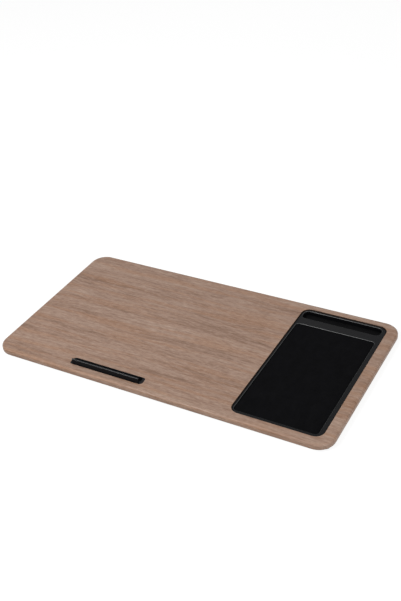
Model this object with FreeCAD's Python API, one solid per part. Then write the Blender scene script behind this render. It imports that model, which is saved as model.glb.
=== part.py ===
import FreeCAD, Part
import math
import os

os.makedirs("parts", exist_ok=True)

# Lap desk: a wood-decor board with a moulded tray (mouse pad and phone slot) let into its
# right end, and a flip-up laptop stop near its front edge. Millimetres, +Z up, +X to the right,
# -Y towards the user. The origin is on the supporting surface, below the centre of the board.

# ---------------------------------------------------------------- driving dimensions
# board
board_length = 575.0
board_depth = 305.0
board_corner_radius = 26.0
core_thickness = 10.2
foil_thickness = 0.4
backer_thickness = 0.4
top_edge_radius = 4.0
bottom_edge_radius = 3.0

# feet
foot_height = 3.0
foot_radius = 7.0
foot_edge_radius = 0.8
foot_side_inset = 12.5
foot_end_inset = 18.0
foot_web = 1.3
foot_washer_radius = 3.2
foot_washer_thickness = 0.4

# opening in the board for the tray
opening_width = 144.0
opening_right_margin = 17.4
opening_front_margin = 15.1
opening_rear_margin = 12.9
opening_corner_radius = 14.5
opening_edge_radius = 0.3
ledge_width = 7.0

# tray
tray_gap = 0.8
tray_drop = 1.5
tray_edge_radius = 1.2
tray_rim_left = 3.1
tray_rim_right = 7.2
tray_rim_front = 5.6
tray_rim_rear = 3.5
tray_inner_edge_radius = 1.0
tray_edge_land = 0.05
tray_lift = 0.2
pan_thickness = 1.6
rib_thickness = 1.4
long_rib_count = 3
cross_rib_count = 5
boss_radius = 3.2

# phone slot and the bar in front of it
slot_width = 20.1
slot_corner_radius = 8.0
slot_floor_thickness = 1.4
bar_width = 17.1
trough_wall = 1.8
liner_thickness = 0.6

# mouse pad
recess_corner_radius = 6.0
pad_drop = 1.6
cloth_thickness = 0.4
foam_thickness = 1.1
adhesive_thickness = 0.1
pad_edge_radius = 0.25

# closing plate under the tray
cover_thickness = 1.6
cover_overlap = 4.5
cover_corner_radius = 6.0
cover_screw_rows = 4
cover_screw_inset = 7.0

# laptop stop
stop_centre_from_left = 202.5
stop_front_margin = 12.9
stop_length = 131.4
stop_corner_radius = 5.0
stop_front_wall = 0.7
stop_rear_wall = 1.0
stop_floor = 1.2
stop_drop = 0.1
flap_end_margin = 5.0
flap_rise = 9.0
flap_thickness = 2.4
flap_sink = 0.2
flap_edge_radius = 0.6
barrel_radius = 1.8
detent_depth = 0.25
detent_length = 14.0

# hinge pins
pin_radius = 1.0
pin_in_flap = 7.0
pin_end_setback = 0.6

# leaf spring
spring_length = 40.0
spring_width = 2.6
spring_thickness = 0.3
spring_height = 1.05
spring_tab = 5.0
spring_peg_radius = 0.6
spring_peg_height = 0.6

# rest ribs that carry the folded flap
rest_rib_width = 2.0
rest_rib_from_end = 20.0

# screws
stop_screw_head_radius = 2.2
stop_screw_head_height = 1.0
stop_screw_radius = 1.1
stop_screw_length = 5.0
stop_screw_from_end = 36.0
foot_screw_head_radius = 2.6
foot_screw_head_height = 1.0
foot_screw_radius = 1.4
foot_screw_length = 6.0
cover_screw_head_radius = 2.6
cover_screw_head_height = 1.2
cover_screw_radius = 1.3
cover_screw_length = 4.0
screw_tip_length = 1.2
cross_recess_width = 0.5
cross_recess_share = 0.7

# clearances
seat_clearance = 0.15
plate_clearance = 0.3
flap_end_clearance = 0.4
flap_wall_clearance = 0.3
flap_nail_gap = 1.2
running_clearance = 0.05
screw_clearance = 0.2
pad_clearance = 0.4
rest_clearance = 0.3
cut_margin = 5.0

# ---------------------------------------------------------------- derived levels and edges
board_bottom = foot_height
core_bottom = board_bottom + backer_thickness
core_top = core_bottom + core_thickness
board_top = core_top + foil_thickness
left_edge = -board_length / 2
right_edge = board_length / 2
front_edge = -board_depth / 2
rear_edge = board_depth / 2

opening_right = right_edge - opening_right_margin
opening_left = opening_right - opening_width
opening_front = front_edge + opening_front_margin
opening_rear = rear_edge - opening_rear_margin

tray_left = opening_left + tray_gap
tray_right = opening_right - tray_gap
tray_front = opening_front + tray_gap
tray_rear = opening_rear - tray_gap
tray_top = board_top - tray_drop
tray_corner_radius = opening_corner_radius - tray_gap

pad_top = tray_top - pad_drop
cloth_bottom = pad_top - cloth_thickness
foam_bottom = cloth_bottom - foam_thickness
pan_top = foam_bottom - adhesive_thickness
ledge_top = pan_top - pan_thickness
trough_bottom = board_bottom + tray_lift
cover_bottom = trough_bottom
cover_top = cover_bottom + cover_thickness

well_left = tray_left + tray_rim_left
well_right = tray_right - tray_rim_right
slot_rear = tray_rear - tray_rim_rear
slot_front = slot_rear - slot_width
slot_floor_top = trough_bottom + slot_floor_thickness
recess_rear = slot_front - bar_width
recess_front = tray_front + tray_rim_front
trough_left = well_left - trough_wall
trough_right = well_right + trough_wall
trough_front = slot_front - trough_wall
trough_rear = slot_rear + trough_wall
trough_corner_radius = slot_corner_radius + trough_wall

ledge_left = opening_left + ledge_width
ledge_right = opening_right - ledge_width
ledge_front = opening_front + ledge_width
cover_left = ledge_left - cover_overlap
cover_right = ledge_right + cover_overlap
cover_front = ledge_front - cover_overlap
cover_rear = trough_front - plate_clearance

stop_x = left_edge + stop_centre_from_left
stop_left = stop_x - stop_length / 2
stop_right = stop_x + stop_length / 2
stop_front = front_edge + stop_front_margin
stop_top = board_top - stop_drop
flap_left = stop_left + flap_end_margin
flap_right = stop_right - flap_end_margin
cavity_left = flap_left - flap_end_clearance
cavity_right = flap_right + flap_end_clearance
cavity_front = stop_front + stop_front_wall
flap_front = cavity_front + flap_wall_clearance
pivot_y = flap_front + barrel_radius
pivot_z = board_top - flap_sink - barrel_radius
flap_top = board_top + flap_rise
folded_tip_y = pivot_y + flap_top - pivot_z
folded_underside_z = pivot_z + barrel_radius - flap_thickness
cavity_rear = folded_tip_y + flap_nail_gap
stop_rear = cavity_rear + stop_rear_wall
spring_crest = pivot_z - barrel_radius - running_clearance
stop_floor_top = spring_crest - spring_height
stop_bottom = stop_floor_top - stop_floor


# ---------------------------------------------------------------- helpers
def rounded_prism(x0, y0, x1, y1, radius, z0, z1):
    """Upright prism on a rounded rectangle from (x0, y0) to (x1, y1)."""
    block = Part.makeBox(x1 - x0, y1 - y0, z1 - z0, FreeCAD.Vector(x0, y0, z0))
    upright = [e for e in block.Edges if abs(e.tangentAt(e.FirstParameter).z) > 0.99]
    return block.makeFillet(radius, upright)


def box(x0, y0, z0, x1, y1, z1):
    return Part.makeBox(x1 - x0, y1 - y0, z1 - z0, FreeCAD.Vector(x0, y0, z0))


def disc(x, y, z0, z1, radius):
    return Part.makeCylinder(radius, z1 - z0, FreeCAD.Vector(x, y, z0))


def edges_at(shape, z, x0, y0, x1, y1):
    """Edges that lie in the plane at height z and inside the rectangle, edges of it included."""
    slack = 0.01
    found = []
    for edge in shape.Edges:
        b = edge.BoundBox
        if abs(b.ZMin - z) > slack or abs(b.ZMax - z) > slack:
            continue
        if b.XMin < x0 - slack or b.XMax > x1 + slack:
            continue
        if b.YMin < y0 - slack or b.YMax > y1 + slack:
            continue
        found.append(edge)
    return found


def round_rim(shape, z, x0, y0, x1, y1, radius):
    return shape.makeFillet(radius, edges_at(shape, z, x0, y0, x1, y1))


def slab(inset, z0, z1, top_radius, bottom_radius):
    """The board's outline, drawn in by inset, with rounded top and bottom edges."""
    x0 = left_edge + inset
    y0 = front_edge + inset
    x1 = right_edge - inset
    y1 = rear_edge - inset
    body = rounded_prism(x0, y0, x1, y1, board_corner_radius - inset, z0, z1)
    body = round_rim(body, z1, x0, y0, x1, y1, top_radius)
    return round_rim(body, z0, x0, y0, x1, y1, bottom_radius)


def opening_prism(z0, z1):
    return rounded_prism(
        opening_left, opening_front, opening_right, opening_rear, opening_corner_radius, z0, z1
    )


def screw(head_radius, head_height, radius, length, countersunk=False):
    """Cross-recess screw pointing up. A countersunk head starts at z = 0 and is part of the
    length; a round head lies below z = 0, where it bears."""
    tip = length - screw_tip_length
    if countersunk:
        head_bottom = 0.0
        head = Part.makeCone(head_radius, radius, head_height)
    else:
        head_bottom = -head_height
        head = disc(0, 0, head_bottom, 0, head_radius)
        rim = edges_at(head, head_bottom, -head_radius, -head_radius, head_radius, head_radius)
        head = head.makeFillet(head_height / 2, rim)
    shank = disc(0, 0, 0, tip, radius)
    point = Part.makeCone(radius, radius / 4, screw_tip_length, FreeCAD.Vector(0, 0, tip))
    body = head.fuse([shank, point]).removeSplitter()
    reach = head_radius * cross_recess_share
    half = cross_recess_width / 2
    deep = head_bottom + head_height / 2
    cross = box(-reach, -half, head_bottom, reach, half, deep)
    cross = cross.fuse(box(-half, -reach, head_bottom, half, reach, deep))
    return body.cut(cross)


def placed(shape, x, y, z, flip=False):
    copy = shape.copy()
    if flip:
        copy.rotate(FreeCAD.Vector(0, 0, 0), FreeCAD.Vector(1, 0, 0), 180)
    copy.translate(FreeCAD.Vector(x, y, z))
    return copy


def along_x(x0, x1, y, z, radius):
    return Part.makeCylinder(radius, x1 - x0, FreeCAD.Vector(x0, y, z), FreeCAD.Vector(1, 0, 0))


def spread(first, last, count):
    """Count positions evenly spaced from first to last, both included."""
    return [first + (last - first) * i / (count - 1) for i in range(count)]


# ---------------------------------------------------------------- where fasteners go
def foot_places():
    x = right_edge - foot_side_inset
    y = rear_edge - foot_end_inset
    return {
        "foot_front_left": (-x, -y),
        "foot_front_right": (x, -y),
        "foot_rear_left": (-x, y),
        "foot_rear_right": (x, y),
    }


def cover_screw_places():
    xs = (ledge_left + cover_screw_inset, ledge_right - cover_screw_inset)
    ys = spread(
        ledge_front + cover_screw_inset, cover_rear - cover_screw_inset, cover_screw_rows
    )
    return [(x, y) for x in xs for y in ys]


def stop_screw_places():
    y = (pivot_y + barrel_radius + cavity_rear) / 2
    return [
        (cavity_left + stop_screw_from_end, y),
        (cavity_right - stop_screw_from_end, y),
    ]


# ---------------------------------------------------------------- board
def stop_pocket(z0, z1):
    c = seat_clearance
    return rounded_prism(
        stop_left - c, stop_front - c, stop_right + c, stop_rear + c, stop_corner_radius + c, z0, z1
    )


def trough_outline(clearance, z0, z1):
    """The trough under the phone slot, which goes right through the board inside the ledge."""
    return rounded_prism(
        trough_left - clearance,
        trough_front - clearance,
        trough_right + clearance,
        trough_rear + clearance,
        trough_corner_radius + clearance,
        z0,
        z1,
    )


def ledge_hole(z0, z1):
    main = rounded_prism(
        ledge_left,
        ledge_front,
        ledge_right,
        slot_front,
        cover_corner_radius,
        z0,
        z1,
    )
    return main.fuse(trough_outline(plate_clearance, z0, z1)).removeSplitter()


def cover_rebate(z0, z1):
    c = plate_clearance
    return rounded_prism(
        cover_left - c, cover_front - c, cover_right + c, slot_front, cover_corner_radius + c, z0, z1
    )


def core_blank():
    """The core before drilling: the opening, the ledge hole and the stop's pocket are milled."""
    body = slab(
        foil_thickness,
        core_bottom,
        core_top,
        top_edge_radius - foil_thickness,
        bottom_edge_radius - backer_thickness,
    )
    body = body.cut(opening_prism(ledge_top, board_top + cut_margin))
    body = body.cut(ledge_hole(core_bottom - cut_margin, ledge_top + cut_margin))
    body = body.cut(cover_rebate(core_bottom - cut_margin, cover_top))
    return body.cut(stop_pocket(stop_bottom, board_top + cut_margin))


def board_core():
    body = core_blank()
    for x, y in foot_places().values():
        top = board_bottom - foot_web + foot_screw_length
        body = body.cut(disc(x, y, core_bottom - cut_margin, top, foot_screw_radius))
    for x, y in stop_screw_places():
        low = stop_floor_top - stop_screw_length
        body = body.cut(disc(x, y, low, stop_bottom + cut_margin, stop_screw_radius))
    return body


def backer_outline(z0, z1):
    inset = bottom_edge_radius
    return rounded_prism(
        left_edge + inset,
        front_edge + inset,
        right_edge - inset,
        rear_edge - inset,
        board_corner_radius - inset,
        z0,
        z1,
    )


def decor_foil():
    """Foil drawn over the top and the outer edges. It ends, softened, at the opening's rim."""
    body = slab(0, board_bottom, board_top, top_edge_radius, bottom_edge_radius)
    body = body.cut(opening_prism(ledge_top, board_top + cut_margin))
    body = round_rim(
        body,
        board_top,
        opening_left,
        opening_front,
        opening_right,
        opening_rear,
        opening_edge_radius,
    )
    body = body.cut(backer_outline(board_bottom - cut_margin, core_bottom))
    body = body.cut(ledge_hole(board_bottom - cut_margin, ledge_top + cut_margin))
    body = body.cut(cover_rebate(board_bottom - cut_margin, cover_top))
    body = body.cut(stop_pocket(stop_bottom, board_top + cut_margin))
    return body.cut(core_blank())


def backer_sheet():
    low = board_bottom - cut_margin
    high = core_bottom + cut_margin
    body = backer_outline(board_bottom, core_bottom)
    body = body.cut(ledge_hole(low, high))
    body = body.cut(cover_rebate(low, high))
    for x, y in foot_places().values():
        body = body.cut(disc(x, y, low, high, foot_screw_radius + screw_clearance))
    return body


# ---------------------------------------------------------------- tray
def well(y0, y1, radius, inset, z0, z1):
    """A hollow of the tray, or what lies in it, between the tray's left and right rims."""
    return rounded_prism(
        well_left + inset, y0 + inset, well_right - inset, y1 - inset, radius - inset, z0, z1
    )


def tray_outline(z0, z1):
    return rounded_prism(
        tray_left, tray_front, tray_right, tray_rear, tray_corner_radius, z0, z1
    )


def rim_wall(corner_radius, side_rim, end_rim):
    """Narrowest width of the rim where a hollow's corner lies inside a corner of the tray."""
    step = tray_corner_radius - corner_radius
    if side_rim >= step or end_rim >= step:
        return min(side_rim, end_rim)
    return step - math.hypot(step - side_rim, step - end_rim)


def hollow_edge_radius(corner_radius, end_rim):
    """Radius of a hollow's upper edge, limited by what the tray's own edge leaves of the rim."""
    wall = min(rim_wall(corner_radius, side, end_rim) for side in (tray_rim_left, tray_rim_right))
    return min(tray_inner_edge_radius, wall - tray_edge_radius - tray_edge_land)


def tray_ribs():
    """Ribs and screw bosses from the pan down to the closing plate, inside the ledge."""
    low = cover_top
    high = ledge_top + pan_thickness / 2
    inner_left = ledge_left + plate_clearance
    inner_right = ledge_right - plate_clearance
    inner_front = ledge_front + plate_clearance
    inner_rear = trough_front + rib_thickness
    half = rib_thickness / 2
    pieces = [disc(x, y, low, high, boss_radius) for x, y in cover_screw_places()]
    for x in spread(inner_left + half, inner_right - half, long_rib_count):
        pieces.append(box(x - half, inner_front, low, x + half, inner_rear, high))
    for y in spread(inner_front + half, trough_front - half, cross_rib_count):
        pieces.append(box(inner_left, y - half, low, inner_right, y + half, high))
    outline = rounded_prism(
        inner_left, inner_front, inner_right, slot_front, cover_corner_radius, low, high
    )
    return pieces[0].fuse(pieces[1:]).common(outline)


def tray_shell():
    body = tray_outline(ledge_top, tray_top)
    body = body.fuse(trough_outline(0, trough_bottom, pan_top)).removeSplitter()
    body = round_rim(
        body, tray_top, tray_left, tray_front, tray_right, tray_rear, tray_edge_radius
    )
    high = tray_top + cut_margin
    slot = well(slot_front, slot_rear, slot_corner_radius, 0, slot_floor_top, high)
    recess = well(recess_front, recess_rear, recess_corner_radius, 0, pan_top, high)
    body = body.cut(slot)
    radius = hollow_edge_radius(slot_corner_radius, tray_rim_rear)
    body = round_rim(body, tray_top, well_left, slot_front, well_right, slot_rear, radius)
    body = body.cut(recess)
    radius = hollow_edge_radius(recess_corner_radius, tray_rim_front)
    body = round_rim(body, tray_top, well_left, recess_front, well_right, recess_rear, radius)
    body = body.fuse(tray_ribs()).removeSplitter()
    for x, y in cover_screw_places():
        tip = cover_bottom + cover_screw_length
        body = body.cut(disc(x, y, cover_top - cut_margin, tip, cover_screw_radius))
    return body


def tray_cover():
    body = rounded_prism(
        cover_left,
        cover_front,
        cover_right,
        cover_rear,
        cover_corner_radius,
        cover_bottom,
        cover_top,
    )
    for x, y in cover_screw_places():
        body = body.cut(disc(x, y, cover_bottom, cover_top, cover_screw_radius))
        sink = Part.makeCone(
            cover_screw_head_radius,
            cover_screw_radius,
            cover_screw_head_height,
            FreeCAD.Vector(x, y, cover_bottom),
        )
        body = body.cut(sink)
    return body


def cover_screws():
    part = screw(
        cover_screw_head_radius,
        cover_screw_head_height,
        cover_screw_radius,
        cover_screw_length,
        countersunk=True,
    )
    return Part.makeCompound([placed(part, x, y, cover_bottom) for x, y in cover_screw_places()])


def slot_liner():
    high = slot_floor_top + liner_thickness
    return well(
        slot_front, slot_rear, slot_corner_radius, pad_clearance, slot_floor_top, high
    )


def pad_layer(z0, z1):
    return well(recess_front, recess_rear, recess_corner_radius, pad_clearance, z0, z1)


def pad_cloth():
    body = pad_layer(cloth_bottom, pad_top)
    return round_rim(
        body, pad_top, well_left, recess_front, well_right, recess_rear, pad_edge_radius
    )


# ---------------------------------------------------------------- laptop stop
def stop_housing():
    body = rounded_prism(
        stop_left, stop_front, stop_right, stop_rear, stop_corner_radius, stop_bottom, stop_top
    )
    body = body.cut(
        box(
            cavity_left,
            cavity_front,
            stop_floor_top,
            cavity_right,
            cavity_rear,
            stop_top + cut_margin,
        )
    )
    bore = along_x(
        stop_left - cut_margin,
        stop_right + cut_margin,
        pivot_y,
        pivot_z,
        pin_radius + running_clearance,
    )
    body = body.cut(bore)
    for x, y in stop_screw_places():
        body = body.cut(
            disc(x, y, stop_bottom - cut_margin, stop_top, stop_screw_radius + screw_clearance)
        )
    ribs = []
    half = rest_rib_width / 2
    for x in (cavity_left + rest_rib_from_end, cavity_right - rest_rib_from_end):
        ribs.append(
            box(
                x - half,
                pivot_y + barrel_radius + flap_wall_clearance,
                stop_bottom + stop_floor / 2,
                x + half,
                cavity_rear + stop_rear_wall / 2,
                folded_underside_z - rest_clearance,
            )
        )
    for x in spring_peg_places():
        ribs.append(
            disc(
                x,
                pivot_y,
                stop_bottom + stop_floor / 2,
                stop_floor_top + spring_peg_height,
                spring_peg_radius,
            )
        )
    return body.fuse(ribs).removeSplitter()


def spring_peg_places():
    offset = (spring_length - spring_tab) / 2
    return (stop_x - offset, stop_x + offset)


def stop_flap():
    """Blade and hinge barrel, standing up; its front face is tangent to the barrel."""
    blade = box(
        flap_left, flap_front, pivot_z, flap_right, flap_front + flap_thickness, flap_top
    )
    upright = [
        e
        for e in blade.Edges
        if abs(e.tangentAt(e.FirstParameter).y) > 0.99 and e.BoundBox.ZMin > board_top
    ]
    blade = blade.makeFillet(flap_edge_radius * 2, upright)
    rim = [
        e
        for e in blade.Edges
        if e.BoundBox.ZMin > pivot_z + barrel_radius and e.BoundBox.YLength < flap_edge_radius
    ]
    blade = blade.makeFillet(flap_edge_radius, rim)
    barrel = along_x(flap_left, flap_right, pivot_y, pivot_z, barrel_radius)
    body = blade.fuse(barrel).removeSplitter()
    half = detent_length / 2
    flat = barrel_radius - detent_depth
    body = body.cut(
        box(
            stop_x - half,
            pivot_y - barrel_radius,
            pivot_z - barrel_radius,
            stop_x + half,
            pivot_y + barrel_radius,
            pivot_z - flat,
        )
    )
    body = body.cut(
        box(
            stop_x - half,
            pivot_y + flat,
            pivot_z - barrel_radius,
            stop_x + half,
            pivot_y + barrel_radius,
            pivot_z + barrel_radius,
        )
    )
    for x0, x1 in ((flap_left, flap_left + pin_in_flap), (flap_right - pin_in_flap, flap_right)):
        body = body.cut(along_x(x0, x1, pivot_y, pivot_z, pin_radius))
    return body


def stop_hinge_pins():
    # the rounded corner of the housing is nearest at the pivot's own distance from the front
    into_corner = stop_corner_radius - (pivot_y - stop_front)
    corner_reach = math.sqrt(stop_corner_radius**2 - into_corner**2)
    end = stop_length / 2 - stop_corner_radius + corner_reach - pin_end_setback
    left = along_x(stop_x - end, flap_left + pin_in_flap, pivot_y, pivot_z, pin_radius)
    right = along_x(flap_right - pin_in_flap, stop_x + end, pivot_y, pivot_z, pin_radius)
    return Part.makeCompound([left, right])


def stop_spring():
    """Arched leaf spring under the barrel, held by two pegs of the housing's floor."""
    low = stop_floor_top
    half = spring_length / 2
    knee = half - spring_tab
    t = spring_thickness

    def point(x, z):
        return FreeCAD.Vector(stop_x + x, pivot_y - spring_width / 2, z)

    def arch(x, z_end, z_mid):
        return Part.Arc(point(-x, z_end), point(0, z_mid), point(x, z_end)).toShape()

    def line(a, b):
        return Part.LineSegment(a, b).toShape()

    edges = [
        line(point(-half, low), point(-knee, low)),
        arch(knee, low, spring_crest - t),
        line(point(knee, low), point(half, low)),
        line(point(half, low), point(half, low + t)),
        line(point(half, low + t), point(knee, low + t)),
        arch(knee, low + t, spring_crest),
        line(point(-knee, low + t), point(-half, low + t)),
        line(point(-half, low + t), point(-half, low)),
    ]
    wire = Part.Wire(Part.__sortEdges__(edges))
    body = Part.Face(wire).extrude(FreeCAD.Vector(0, spring_width, 0))
    for x in spring_peg_places():
        body = body.cut(
            disc(x, pivot_y, low - t, low + t + t, spring_peg_radius + running_clearance)
        )
    return body


def stop_screws():
    part = screw(
        stop_screw_head_radius, stop_screw_head_height, stop_screw_radius, stop_screw_length
    )
    return Part.makeCompound(
        [placed(part, x, y, stop_floor_top, flip=True) for x, y in stop_screw_places()]
    )


# ---------------------------------------------------------------- feet
def foot(x, y):
    body = disc(x, y, 0, foot_height, foot_radius)
    rim = edges_at(
        body, 0, x - foot_radius, y - foot_radius, x + foot_radius, y + foot_radius
    )
    body = body.makeFillet(foot_edge_radius, rim)
    washer_top = foot_height - foot_web
    body = body.cut(disc(x, y, 0, washer_top, foot_washer_radius + screw_clearance))
    return body.cut(disc(x, y, 0, foot_height, foot_screw_radius + screw_clearance))


def foot_washers():
    high = foot_height - foot_web
    low = high - foot_washer_thickness
    rings = []
    for x, y in foot_places().values():
        ring = disc(x, y, low, high, foot_washer_radius)
        rings.append(ring.cut(disc(x, y, low, high, foot_screw_radius + screw_clearance)))
    return Part.makeCompound(rings)


def foot_screws():
    part = screw(
        foot_screw_head_radius, foot_screw_head_height, foot_screw_radius, foot_screw_length
    )
    z = foot_height - foot_web - foot_washer_thickness
    return Part.makeCompound([placed(part, x, y, z) for x, y in foot_places().values()])


# ---------------------------------------------------------------- export
nodes = {
    "board_core": board_core(),
    "decor_foil": decor_foil(),
    "backer_sheet": backer_sheet(),
    "tray_shell": tray_shell(),
    "tray_cover": tray_cover(),
    "cover_screws": cover_screws(),
    "slot_liner": slot_liner(),
    "pad_adhesive": pad_layer(pan_top, foam_bottom),
    "pad_foam": pad_layer(foam_bottom, cloth_bottom),
    "pad_cloth": pad_cloth(),
    "stop_housing": stop_housing(),
    "stop_flap": stop_flap(),
    "stop_hinge_pins": stop_hinge_pins(),
    "stop_spring": stop_spring(),
    "stop_screws": stop_screws(),
    "foot_washers": foot_washers(),
    "foot_screws": foot_screws(),
}
for name, (x, y) in foot_places().items():
    nodes[name] = foot(x, y)

for name, shape in nodes.items():
    shape.exportStep("parts/" + name + ".step")
    b = shape.BoundBox
    print(
        f"{name:18s} solids {len(shape.Solids)} valid {shape.isValid()} volume {shape.Volume:10.1f}"
        f"  x {b.XMin:8.2f} {b.XMax:8.2f}  y {b.YMin:8.2f} {b.YMax:8.2f}  z {b.ZMin:6.2f} {b.ZMax:6.2f}"
    )
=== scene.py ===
import bpy
import math
from mathutils import Matrix, Vector, noise


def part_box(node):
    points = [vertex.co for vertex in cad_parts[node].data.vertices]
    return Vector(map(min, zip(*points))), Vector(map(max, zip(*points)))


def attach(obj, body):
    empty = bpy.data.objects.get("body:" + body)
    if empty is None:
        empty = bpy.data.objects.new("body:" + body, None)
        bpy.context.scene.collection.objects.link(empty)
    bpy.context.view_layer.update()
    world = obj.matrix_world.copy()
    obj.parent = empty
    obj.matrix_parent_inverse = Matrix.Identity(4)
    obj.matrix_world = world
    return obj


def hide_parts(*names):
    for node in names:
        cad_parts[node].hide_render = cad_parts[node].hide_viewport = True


# Lap desk: wood-decor board, tray with a mouse pad and a phone slot, flip-up laptop stop.
# Metres, in the CAD's frame: +Z up, +X to the right, -Y towards the user, feet on z = 0.

MM = 0.001

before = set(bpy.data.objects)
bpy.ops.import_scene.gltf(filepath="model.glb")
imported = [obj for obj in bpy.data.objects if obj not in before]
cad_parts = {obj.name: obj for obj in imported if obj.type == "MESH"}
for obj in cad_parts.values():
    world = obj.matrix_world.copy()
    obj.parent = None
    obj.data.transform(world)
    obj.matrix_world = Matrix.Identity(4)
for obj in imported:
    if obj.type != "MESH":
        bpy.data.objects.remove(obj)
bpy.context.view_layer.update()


# ---------------------------------------------------------------- camera
# Fitted to the photograph: a point of the board that it looks towards, and where it stands.
CAMERA_TARGET = Vector((-0.0430, 0.0910, 0.0140))
CAMERA_DISTANCE = 1.5689
CAMERA_AZIMUTH = math.radians(31.37)
CAMERA_ELEVATION = math.radians(34.38)
CAMERA_ROLL = math.radians(-4.87)
FOCAL_PIXELS = 932.3
IMAGE_HEIGHT_PIXELS = 601
SENSOR = 36.0  # millimetres, along the image's height


def make_camera():
    """The photograph's camera, as a pinhole that looks at CAMERA_TARGET."""
    level = math.cos(CAMERA_ELEVATION)
    back = Vector((
        math.sin(CAMERA_AZIMUTH) * level,
        -math.cos(CAMERA_AZIMUTH) * level,
        math.sin(CAMERA_ELEVATION),
    ))
    right = Vector((math.cos(CAMERA_AZIMUTH), math.sin(CAMERA_AZIMUTH), 0))
    up = back.cross(right)
    rolled_right = right * math.cos(CAMERA_ROLL) + up * math.sin(CAMERA_ROLL)
    rolled_up = up * math.cos(CAMERA_ROLL) - right * math.sin(CAMERA_ROLL)
    turn = Matrix((rolled_right, rolled_up, back)).transposed()
    data = bpy.data.cameras.new("camera")
    data.sensor_width = SENSOR
    data.lens = FOCAL_PIXELS / IMAGE_HEIGHT_PIXELS * SENSOR
    camera = bpy.data.objects.new("camera", data)
    place = CAMERA_TARGET + back * CAMERA_DISTANCE
    camera.matrix_world = Matrix.Translation(place) @ turn.to_4x4()
    bpy.context.scene.collection.objects.link(camera)
    bpy.context.scene.camera = camera


# ---------------------------------------------------------------- shader helpers
def linear(red, green, blue):
    """A colour written as 0 to 255 sRGB values, as the linear RGBA that Blender's sockets take."""
    def channel(value):
        value /= 255
        return value / 12.92 if value <= 0.04045 else ((value + 0.055) / 1.055) ** 2.4

    return (channel(red), channel(green), channel(blue), 1.0)


def grey(level):
    """A grey of that linear level, as RGBA."""
    return (level, level, level, 1.0)


class Shader:
    """One material's node tree, with short calls that return the output socket of a new node."""

    def __init__(self, name, roughness, specular=0.5, metallic=0.0):
        self.material = bpy.data.materials.new(name)
        self.material.use_nodes = True
        self.tree = self.material.node_tree
        self.surface = self.tree.nodes["Principled BSDF"]
        self.surface.inputs["Roughness"].default_value = roughness
        self.surface.inputs["Specular IOR Level"].default_value = specular
        self.surface.inputs["Metallic"].default_value = metallic

    def node(self, kind, inputs, **settings):
        made = self.tree.nodes.new(kind)
        for key, value in settings.items():
            setattr(made, key, value)
        for key, value in inputs.items():
            if isinstance(value, bpy.types.NodeSocket):
                self.tree.links.new(value, made.inputs[key])
            else:
                made.inputs[key].default_value = value
        return made

    def coordinates(self, kind="Object"):
        return self.node("ShaderNodeTexCoord", {}).outputs[kind]

    def vector(self, operation, *values):
        made = self.node("ShaderNodeVectorMath", dict(enumerate(values)), operation=operation)
        return made.outputs[0]

    def math(self, operation, *values):
        made = self.node("ShaderNodeMath", dict(enumerate(values)), operation=operation)
        return made.outputs[0]

    def noise(self, place, size, detail=2.0, roughness=0.5):
        """Noise whose features are about size metres across, along X, Y and Z."""
        scaled = self.vector("MULTIPLY", place, tuple(1 / s for s in size))
        inputs = {"Vector": scaled, "Scale": 1.0, "Detail": detail, "Roughness": roughness}
        return self.node("ShaderNodeTexNoise", inputs).outputs["Fac"]

    def axis(self, vector, name):
        """One component of a vector: X, Y or Z."""
        return self.node("ShaderNodeSeparateXYZ", {0: vector}).outputs[name]

    def ramp(self, factor, stops):
        """A colour ramp. stops are (position, colour) pairs in rising order."""
        made = self.node("ShaderNodeValToRGB", {0: factor})
        band = made.color_ramp
        band.elements[0].position, band.elements[0].color = stops[0]
        band.elements[1].position, band.elements[1].color = stops[-1]
        for position, colour in stops[1:-1]:
            band.elements.new(position).color = colour
        return made.outputs["Color"]

    def spread(self, factor, low, high, to_low, to_high):
        """factor from low..high to to_low..to_high, held at the ends."""
        inputs = {0: factor, 1: low, 2: high, 3: to_low, 4: to_high}
        return self.node("ShaderNodeMapRange", inputs).outputs[0]

    def blend(self, first, first_share, second, second_share):
        """A weighted sum of two values."""
        weighted = (
            self.math("MULTIPLY", first, first_share),
            self.math("MULTIPLY", second, second_share),
        )
        return self.math("ADD", *weighted)

    def mix(self, factor, first, second):
        """The first colour where factor is 0, the second where it is 1."""
        inputs = {0: factor, 6: first, 7: second}
        return self.node("ShaderNodeMix", inputs, data_type="RGBA").outputs[2]

    def colour(self, value):
        self.tree.links.new(value, self.surface.inputs["Base Color"])

    def roughness(self, value):
        self.tree.links.new(value, self.surface.inputs["Roughness"])

    def specular(self, value):
        self.tree.links.new(value, self.surface.inputs["Specular IOR Level"])

    def bump(self, height, depth):
        """Surface relief: height from 0 to 1 stands for depth metres."""
        inputs = {"Height": height, "Distance": depth, "Strength": 1.0}
        relief = self.node("ShaderNodeBump", inputs).outputs["Normal"]
        self.tree.links.new(relief, self.surface.inputs["Normal"])


# ---------------------------------------------------------------- materials
LEVEL = (1.0, 1.0, 0.0)  # times a vector, leaves its level part

# Wood print, in metres. PRINT_START is where on the endless print the board's middle lies. Each
# size is that of one kind of feature: along the grain, across it, and up, where a flat print
# doesn't change.
PRINT_START = (0.45, 1.53, 0.0)
WANDER_SIZE = (0.28, 0.07, 1)
BAND_SIZE = (0.30, 0.020, 1)
STREAK_SIZE = (0.045, 0.0046, 1)
TAN_SIZE = (0.2, 0.011, 1)
FLECK_SIZE = (0.010, 0.0030, 1)
LINE_SIZE = (0.016, 0.0014, 1)
PORE_SIZE = (0.009, 0.00035, 1)

GRAIN_WANDER = 20 * MM  # times noise that stays within about 0.2 of its middle
BAND_SHARE = 0.42
STREAK_SHARE = 0.58
PORE_RELIEF_SHARE = 0.7
LINE_RELIEF_SHARE = 0.3
WOOD_RELIEF = 0.04 * MM

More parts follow.
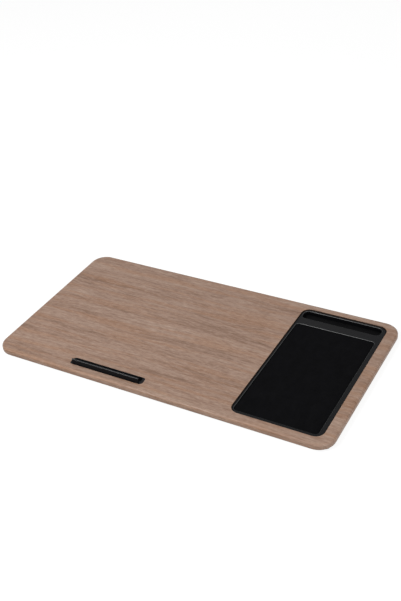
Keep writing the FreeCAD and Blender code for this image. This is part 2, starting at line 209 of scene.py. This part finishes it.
WOOD_TONES = [
    (0.32, linear(119, 90, 72)),
    (0.43, linear(145, 116, 98)),
    (0.52, linear(160, 132, 115)),
    (0.61, linear(170, 144, 127)),
    (0.72, linear(178, 155, 140)),
]
TAN = linear(160, 120, 92)
PALE_FLECK = linear(184, 160, 145)
DULL_FLECK = linear(122, 94, 76)
LINE = linear(104, 78, 64)
PORE = linear(92, 68, 55)


def print_place(s):
    """Where a point lies on the flat wood print. The print runs on over the board's edges, as
    foil does that is drawn over a board: a point below the top takes the print from as far
    outside the edge."""
    place = s.coordinates()
    outward = s.vector("MULTIPLY", s.coordinates("Normal"), LEVEL)
    board_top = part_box("decor_foil")[1].z
    depth = s.math("SUBTRACT", board_top, s.axis(place, "Z"))
    over_edge = s.node("ShaderNodeVectorMath", {0: outward, "Scale": depth}, operation="SCALE")
    flat = s.vector("MULTIPLY", place, LEVEL)
    run_on = s.vector("ADD", flat, over_edge.outputs[0])
    return s.vector("ADD", run_on, PRINT_START)


def wood_decor():
    """Printed decor foil, grain along X."""
    s = Shader("wood_decor", roughness=0.45, specular=0.22)
    place = print_place(s)

    # the grain wanders a few millimetres to either side
    sway = s.math("SUBTRACT", s.noise(place, WANDER_SIZE), 0.5)
    wander = s.math("MULTIPLY", sway, GRAIN_WANDER)
    shift = s.node("ShaderNodeCombineXYZ", {"Y": wander}).outputs[0]
    grain = s.vector("ADD", place, shift)

    bands = s.noise(grain, BAND_SIZE, detail=2)
    streaks = s.noise(grain, STREAK_SIZE, detail=3, roughness=0.65)
    tans = s.noise(grain, TAN_SIZE, detail=1)
    flecks = s.noise(grain, FLECK_SIZE, detail=2, roughness=0.6)
    lines = s.noise(grain, LINE_SIZE, detail=2, roughness=0.6)
    pores = s.noise(grain, PORE_SIZE, detail=1)

    figure = s.blend(bands, BAND_SHARE, streaks, STREAK_SHARE)
    wood = s.ramp(figure, WOOD_TONES)
    wood = s.mix(s.spread(tans, 0.47, 0.64, 0.0, 0.5), wood, TAN)
    wood = s.mix(s.spread(flecks, 0.52, 0.68, 0.0, 0.30), wood, PALE_FLECK)
    wood = s.mix(s.spread(flecks, 0.34, 0.48, 0.28, 0.0), wood, DULL_FLECK)
    wood = s.mix(s.spread(lines, 0.36, 0.56, 0.30, 0.0), wood, LINE)
    wood = s.mix(s.spread(pores, 0.33, 0.42, 0.35, 0.0), wood, PORE)
    s.colour(wood)
    s.roughness(s.spread(streaks, 0.35, 0.65, 0.38, 0.48))
    s.bump(s.blend(pores, PORE_RELIEF_SHARE, lines, LINE_RELIEF_SHARE), WOOD_RELIEF)
    return s.material


EDGE_SHINE = 0.9  # specular level on the black plastic's rounded edges
TONE_SWING = 0.14  # how far the black plastic's tone strays from its colour, as a share of it


def moulded_plastic(name, colour, specular, grain_size, roughness=0.42, grain_depth=0.03 * MM):
    """Black plastic from a spark-eroded mould: a fine even grain, and gloss that varies a little.
    Rounded edges, where the normal lies between upright and level, come out shinier."""
    s = Shader(name, roughness, specular)
    place = s.coordinates()
    upright = s.math("ABSOLUTE", s.axis(s.coordinates("Normal"), "Z"))
    edge = s.math("MULTIPLY", upright, s.math("SUBTRACT", 1.0, upright))
    s.specular(s.spread(edge, 0.05, 0.2, specular, EDGE_SHINE))
    grain = s.noise(place, (grain_size,) * 3, detail=2, roughness=0.6)
    cloud = s.noise(place, (30 * MM,) * 3, detail=2)
    dark = linear(*(value * (1 - TONE_SWING) for value in colour))
    light = linear(*(value * (1 + TONE_SWING) for value in colour))
    s.colour(s.ramp(s.blend(grain, 0.5, cloud, 0.5), [(0.4, dark), (0.6, light)]))
    s.roughness(s.spread(cloud, 0.35, 0.65, roughness - 0.04, roughness + 0.05))
    s.bump(grain, grain_depth)
    return s.material


RIB_PITCH = 0.55 * MM
COURSE_PITCH = 0.40 * MM
YARN_WAVER = 0.6 * MM
KNIT_RELIEF = 0.08 * MM


def knitted_cloth():
    """The pad's black warp knit: fine ribs along Y, crossed by shallower courses."""
    s = Shader("pad_cloth", roughness=0.95, specular=0.02)
    place = s.coordinates()
    waver = s.math("MULTIPLY", s.noise(place, (4 * MM,) * 3, detail=2), YARN_WAVER)

    def waves(along, pitch):
        turn = s.math("MULTIPLY", s.math("ADD", along, waver), 2 * math.pi / pitch)
        return s.math("MULTIPLY_ADD", s.math("SINE", turn), 0.5, 0.5)

    ribs = waves(s.axis(place, "X"), RIB_PITCH)
    courses = waves(s.axis(place, "Y"), COURSE_PITCH)
    knit = s.blend(ribs, 0.65, courses, 0.35)
    nap = s.noise(place, (12 * MM, 20 * MM, 20 * MM), detail=4, roughness=0.65)
    tone = s.blend(knit, 0.45, nap, 0.55)
    s.colour(s.ramp(tone, [(0.3, linear(10, 10, 11)), (0.7, linear(19, 19, 21))]))
    s.bump(knit, KNIT_RELIEF)
    return s.material


def cut_foam(name, dark, light, cell_size):
    """Closed-cell foam: small round cells, open where it was cut."""
    s = Shader(name, roughness=0.9, specular=0.04)
    cell_depth = 0.2 * cell_size
    place = s.vector("MULTIPLY", s.coordinates(), (1 / cell_size,) * 3)
    cells = s.node("ShaderNodeTexVoronoi", {"Vector": place, "Scale": 1.0}).outputs["Distance"]
    s.colour(s.ramp(cells, [(0.1, linear(*dark)), (0.7, linear(*light))]))
    s.bump(cells, cell_depth)
    return s.material


def moulded_rubber():
    """Feet and slot liner: matt black rubber with a little bloom."""
    s = Shader("rubber", roughness=0.85, specular=0.06)
    place = s.coordinates()
    bloom = s.noise(place, (6 * MM,) * 3, detail=4, roughness=0.7)
    s.colour(s.ramp(bloom, [(0.35, linear(6, 6, 7)), (0.65, linear(13, 13, 14))]))
    s.bump(s.noise(place, (0.5 * MM,) * 3), 0.06 * MM)
    return s.material


def steel(name, dark, light, roughness, brush):
    """Metal with fine marks. brush is the marks' size along X, Y and Z."""
    s = Shader(name, roughness, metallic=1.0)
    place = s.coordinates()
    marks = s.noise(place, brush, detail=3, roughness=0.7)
    s.colour(s.ramp(marks, [(0.35, linear(*dark)), (0.65, linear(*light))]))
    s.roughness(s.spread(marks, 0.3, 0.7, roughness - 0.08, roughness + 0.1))
    s.bump(marks, 0.01 * MM)
    return s.material


def fibreboard():
    """The core where it is milled: pressed fibres in dark brown, the core's own brown darkened by
    painted shade, the shade of the narrow gap round the tray.
    """
    s = Shader("fibreboard", roughness=0.9, specular=0.2)
    place = s.coordinates()
    fibres = s.noise(place, (2.2 * MM, 2.2 * MM, 0.6 * MM), detail=5, roughness=0.7)
    # Painted shade: these browns are darker than bare fibreboard, to hold the shade of the gap
    # round the tray.
    s.colour(s.ramp(fibres, [
        (0.35, linear(34, 24, 19)),
        (0.50, linear(50, 38, 31)),
        (0.65, linear(66, 52, 43)),
    ]))
    s.bump(fibres, 0.15 * MM)
    return s.material


def backer():
    """The underside's balancing sheet: plain dark paper laminate, faintly mottled."""
    s = Shader("backer", roughness=0.6, specular=0.3)
    place = s.coordinates()
    fibres = s.noise(place, (4.5 * MM, 1.1 * MM, 2 * MM), detail=4, roughness=0.7)
    clouds = s.noise(place, (60 * MM, 40 * MM, 50 * MM), detail=3)
    tone = s.blend(fibres, 0.6, clouds, 0.4)
    s.colour(s.ramp(tone, [
        (0.38, linear(21, 21, 22)),
        (0.50, linear(26, 26, 27)),
        (0.62, linear(32, 32, 33)),
    ]))
    s.bump(fibres, 0.03 * MM)
    return s.material


def adhesive():
    """Double-sided film under the pad: milky, with small trapped bubbles."""
    s = Shader("adhesive", roughness=0.4, specular=0.4)
    bubbles = s.noise(s.coordinates(), (2 * MM,) * 3, detail=3)
    s.colour(s.ramp(bubbles, [(0.4, linear(196, 190, 172)), (0.6, linear(214, 210, 196))]))
    s.bump(bubbles, 0.02 * MM)
    return s.material


def dress(material, *names):
    """Gives CAD nodes or new pieces one material in every slot."""
    for name in names:
        data = bpy.data.objects[name].data
        if not data.materials:
            data.materials.append(material)
        for index in range(len(data.materials)):
            data.materials[index] = material


# ---------------------------------------------------------------- soft layers
GRID_STEP = 4 * MM
CORNER_STEPS = 8
ROLL_STEPS = 4
PAD_CORNER = 5.6 * MM  # corner radius of the CAD's pad layers
LINING_CORNER = 7.6 * MM  # and of its slot liner


def stations(half, corner, spans):
    """Grid positions from -half to half: fine in the rounded corners, even between them."""
    straight = half - corner
    inner = [straight * (2 * i / spans - 1) for i in range(spans + 1)]
    fine = [straight + corner * i / CORNER_STEPS for i in range(1, CORNER_STEPS + 1)]
    return [-place for place in reversed(fine)] + inner + fine


def rounded_grid(low, high, corner, inset):
    """Rows of (x, y) that fill the rounded rectangle from low to high, drawn in by inset."""
    middle_x = (low.x + high.x) / 2
    middle_y = (low.y + high.y) / 2
    half_x = (high.x - low.x) / 2
    half_y = (high.y - low.y) / 2
    spans_x = round(2 * (half_x - corner) / GRID_STEP)
    spans_y = round(2 * (half_y - corner) / GRID_STEP)
    half_x -= inset
    half_y -= inset
    corner -= inset

    def bent(x, y):
        """Bends the grid's square corner into the round one."""
        a = (abs(x) - half_x + corner) / corner
        b = (abs(y) - half_y + corner) / corner
        if a <= 0 or b <= 0:
            return x, y
        x = math.copysign(half_x - corner + corner * a * math.sqrt(1 - b * b / 2), x)
        y = math.copysign(half_y - corner + corner * b * math.sqrt(1 - a * a / 2), y)
        return x, y

    rows = []
    for y in stations(half_y, corner, spans_y):
        row = [bent(x, y) for x in stations(half_x, corner, spans_x)]
        rows.append([(middle_x + x, middle_y + y) for x, y in row])
    return rows


def border(rows):
    """The grid's outermost points, once round, anticlockwise."""
    ring = list(rows[0][:-1])
    ring += [row[-1] for row in rows[:-1]]
    ring += list(reversed(rows[-1][1:]))
    ring += [row[0] for row in reversed(rows[1:])]
    return ring


def soft_layer(name, node, corner, roll, ripple=0.0, ripple_size=30 * MM):
    """A thin soft layer where the CAD node lies. Its upper edge is rounded by roll, and its face
    dips by up to ripple. The underside is flat, on what carries it."""
    low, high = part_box(node)
    vertices = []
    faces = []

    def add_grid(rows, height):
        first = len(vertices)
        for row in rows:
            vertices.extend((x, y, height(x, y)) for x, y in row)
        return [[first + r * len(row) + c for c in range(len(row))] for r, row in enumerate(rows)]

    def dip(x, y):
        return ripple * (0.5 + 0.5 * noise.noise(Vector((x, y, 0)) / ripple_size))

    def inside(x, y):
        """0 on the rolled edge, 1 from a few millimetres in."""
        reach = min(x - low.x, high.x - x, y - low.y, high.y - y) - roll
        return min(1.0, max(0.0, reach / (corner / 2)))

    def face_height(x, y):
        return high.z - dip(x, y) * inside(x, y)

    top = add_grid(rounded_grid(low, high, corner, roll), face_height)
    bottom = add_grid(rounded_grid(low, high, corner, 0), lambda x, y: low.z)
    for grid, upward in ((top, True), (bottom, False)):
        for lower, upper in zip(grid, grid[1:]):
            for c in range(len(lower) - 1):
                face = (lower[c], lower[c + 1], upper[c + 1], upper[c])
                faces.append(face if upward else face[::-1])

    rings = [border(top)]
    for step in range(1, ROLL_STEPS + 1):
        turn = math.pi / 2 * step / ROLL_STEPS
        outline = border(rounded_grid(low, high, corner, roll * (1 - math.sin(turn))))
        level = high.z - roll * (1 - math.cos(turn))
        first = len(vertices)
        vertices.extend((x, y, level) for x, y in outline)
        rings.append(list(range(first, first + len(outline))))
    rings.append(border(bottom))
    for upper, lower in zip(rings, rings[1:]):
        for i in range(len(upper)):
            j = (i + 1) % len(upper)
            faces.append((upper[i], lower[i], lower[j], upper[j]))

    mesh = bpy.data.meshes.new(name)
    mesh.from_pydata(vertices, [], faces)
    mesh.shade_smooth()
    piece = bpy.data.objects.new(name, mesh)
    bpy.context.scene.collection.objects.link(piece)
    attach(piece, "board")
    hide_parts(node)
    return piece


def laid_sheet(name, node, corner, roll, ripple, ripple_size):
    """A soft layer that is cloth or sheet, laid on what carries it: soft_layer alone, with nothing
    added.
    """
    piece = soft_layer(name, node, corner, roll, ripple, ripple_size)


def make_soft_layers():
    """The pad's foam and cloth, and the liner on the phone slot's floor."""
    foam = soft_layer("foam_layer", "pad_foam", PAD_CORNER, roll=0.15 * MM)
    laid_sheet(
        "knit_cover", "pad_cloth", PAD_CORNER,
        roll=0.25 * MM, ripple=0.05 * MM, ripple_size=35 * MM,
    )
    laid_sheet(
        "slot_lining", "slot_liner", LINING_CORNER,
        roll=0.2 * MM, ripple=0.04 * MM, ripple_size=20 * MM,
    )


# ---------------------------------------------------------------- floor and light
WHITE = grey(1.0)
FLOOR_REACH = 8.0
FLOOR_GREY = grey(0.35)  # the floor's colour where it lights the object
SHOWN_GREY = grey(0.2)  # and where it is seen: the part of its white that a shadow dims
SHOWN_LIFT = 0.88  # the part of its white that no shadow dims
AMBIENT = 0.32  # the world's strength where it lights the object


def background_rays(s):
    """1 for rays that show the background: from the camera, in gloss and through glass."""
    path = s.node("ShaderNodeLightPath", {}).outputs
    shown = s.math("MAXIMUM", path["Is Camera Ray"], path["Is Glossy Ray"])
    return s.math("MAXIMUM", shown, path["Is Transmission Ray"])


def make_floor():
    """Pale floor. Seen directly or in a reflection it is lifted to white, and it keeps shadows."""
    mesh = bpy.data.meshes.new("floor")
    sides = [(-1, -1), (1, -1), (1, 1), (-1, 1)]
    corners = [(x * FLOOR_REACH, y * FLOOR_REACH, 0) for x, y in sides]
    mesh.from_pydata(corners, [], [(0, 1, 2, 3)])
    floor = bpy.data.objects.new("floor", mesh)
    bpy.context.scene.collection.objects.link(floor)
    s = Shader("floor", roughness=1.0, specular=0.0)
    s.surface.inputs["Emission Color"].default_value = WHITE
    shown = background_rays(s)
    s.colour(s.mix(shown, FLOOR_GREY, SHOWN_GREY))
    lift = s.math("MULTIPLY", shown, SHOWN_LIFT)
    s.tree.links.new(lift, s.surface.inputs["Emission Strength"])
    mesh.materials.append(s.material)


class WorldShader(Shader):
    """The world's node tree, with the same short calls."""

    def __init__(self):
        world = bpy.data.worlds.new("world")
        world.use_nodes = True
        bpy.context.scene.world = world
        self.tree = world.node_tree
        self.background = self.tree.nodes["Background"]


def make_world():
    """An even white world: dim where it lights the object, full where it is seen."""
    s = WorldShader()
    s.background.inputs["Color"].default_value = WHITE
    strength = s.spread(background_rays(s), 0.0, 1.0, AMBIENT, 1.0)
    s.tree.links.new(strength, s.background.inputs["Strength"])


def make_lamp(name, place, aim, width, height, power):
    """A rectangular lamp at place that faces aim. Sizes in metres, power in watts."""
    data = bpy.data.lights.new(name, "AREA")
    data.shape = "RECTANGLE"
    data.size = width
    data.size_y = height
    data.energy = power
    lamp = bpy.data.objects.new(name, data)
    lamp.location = place
    lamp.rotation_mode = "QUATERNION"
    lamp.rotation_quaternion = (Vector(aim) - Vector(place)).to_track_quat("-Z", "Y")
    bpy.context.scene.collection.objects.link(lamp)


def light_scene():
    make_world()
    make_lamp("rear", (-0.7, 0.9, 1.7), (0, 0, 0), width=1.6, height=1.2, power=4)
    make_lamp("front", (-0.8, -1.35, 1.6), (0.1, 0, 0), width=0.9, height=0.7, power=33)
    make_lamp("right", (1.9, -0.8, 0.6), (0, 0, 0), width=1.2, height=0.8, power=17)


# ---------------------------------------------------------------- build
make_camera()
make_floor()
light_scene()
make_soft_layers()

dress(wood_decor(), "decor_foil")
dress(fibreboard(), "board_core")
dress(backer(), "backer_sheet")
tray_black = moulded_plastic("tray_plastic", (9, 9, 11), specular=0.085, grain_size=0.4 * MM)
dress(tray_black, "tray_shell", "tray_cover")
stop_black = moulded_plastic("stop_plastic", (13, 14, 17), specular=0.08, grain_size=0.5 * MM)
dress(stop_black, "stop_housing", "stop_flap")
dress(knitted_cloth(), "knit_cover")
foam_black = cut_foam("pad_foam", (5, 5, 6), (13, 13, 14), cell_size=0.4 * MM)
dress(foam_black, "foam_layer")
dress(adhesive(), "pad_adhesive")
rubber_black = moulded_rubber()
dress(rubber_black, "foot_front_left", "foot_front_right", "foot_rear_left", "foot_rear_right")
dress(rubber_black, "slot_lining")
screw_brush = (0.6 * MM, 0.6 * MM, 3 * MM)
screw_steel = steel("screw_steel", (120, 122, 126), (176, 178, 182), 0.35, screw_brush)
dress(screw_steel, "cover_screws", "stop_screws", "foot_screws", "foot_washers")
pin_brush = (4 * MM, 0.4 * MM, 0.4 * MM)
pin_steel = steel("pin_steel", (140, 140, 142), (196, 196, 198), 0.28, pin_brush)
dress(pin_steel, "stop_hinge_pins", "stop_spring")

scene = bpy.context.scene
scene.view_settings.view_transform = "Standard"
